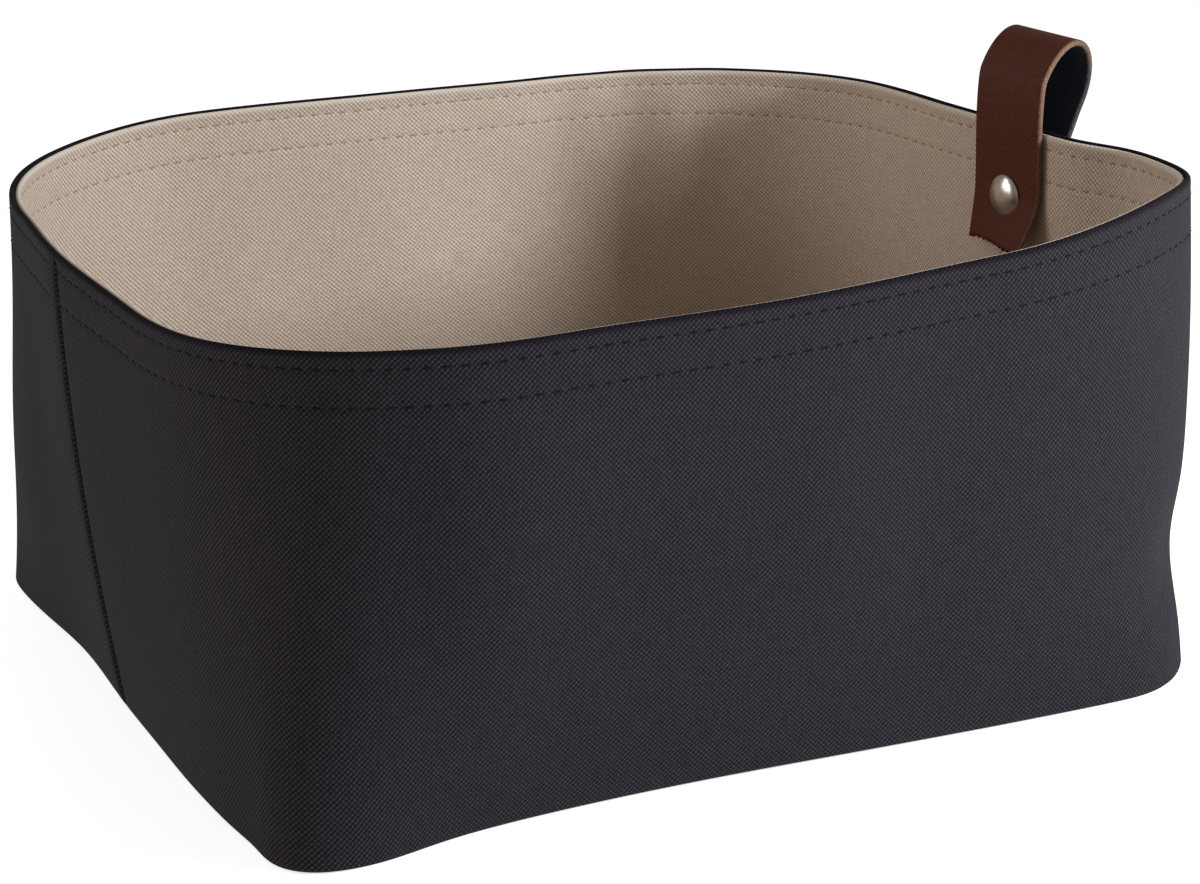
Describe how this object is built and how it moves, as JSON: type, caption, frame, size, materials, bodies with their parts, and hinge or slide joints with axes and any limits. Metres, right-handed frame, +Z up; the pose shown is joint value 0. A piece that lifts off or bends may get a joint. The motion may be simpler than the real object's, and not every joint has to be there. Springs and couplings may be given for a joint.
{
  "type": "fabric storage bin",
  "caption": "Soft rectangular canvas storage bin, open at the top, with a contrasting lining, double-stitched rim and a riveted leather pull loop at one end.",
  "frame": {"origin": "middle of the base, on the surface that the bin stands on", "axes": "+X towards the end with the pull loop, +Y towards the back, +Z up"},
  "size_m": [0.3374, 0.2898, 0.1715],
  "materials": {
    "outer_canvas": "matt charcoal cotton canvas, plain weave",
    "lining_canvas": "matt beige cotton canvas, plain weave",
    "felt": "needled felt, hidden between the cloths",
    "stiffener": "plain fibre board, hidden in the base",
    "dark_thread": "black sewing thread",
    "tan_thread": "brown sewing thread",
    "leather": "dark brown oiled leather, dark flesh side, pale cut edge",
    "nickel": "satin nickel plate"
  },
  "bodies": {
    "bin": {"outer_front_panel": "outer_canvas", "outer_back_panel": "outer_canvas", "outer_base_panel": "outer_canvas", "front_interlining": "felt", "back_interlining": "felt", "base_board": "stiffener", "lining_front_panel": "lining_canvas", "lining_back_panel": "lining_canvas", "lining_base_panel": "lining_canvas", "upper_row_outer_thread": "dark_thread", "upper_row_lining_thread": "tan_thread", "lower_row_outer_thread": "dark_thread", "lower_row_lining_thread": "tan_thread", "left_seam_thread": "dark_thread", "right_seam_thread": "dark_thread"},
    "loop_tails": {"leather_loop_tails": "leather", "rivet_cap": "nickel", "rivet_post": "nickel"},
    "loop_bow": {"leather_loop_bow": "leather"}
  },
  "joints": [
    {"name": "loop_swivel", "type": "hinge", "parent": "bin", "child": "loop_tails", "pos_m": [0.15608, -0.00446, 0.1205], "axis": [0.9903, 0.1392, 0], "range_deg": [-15, 15]},
    {"name": "loop_flex", "type": "hinge", "parent": "loop_tails", "child": "loop_bow", "pos_m": [0.15856, -0.00411, 0.146], "axis": [-0.1392, 0.9903, 0], "range_deg": [-30, 50], "stiffness_Nm_per_rad": 0.05}
  ]
}
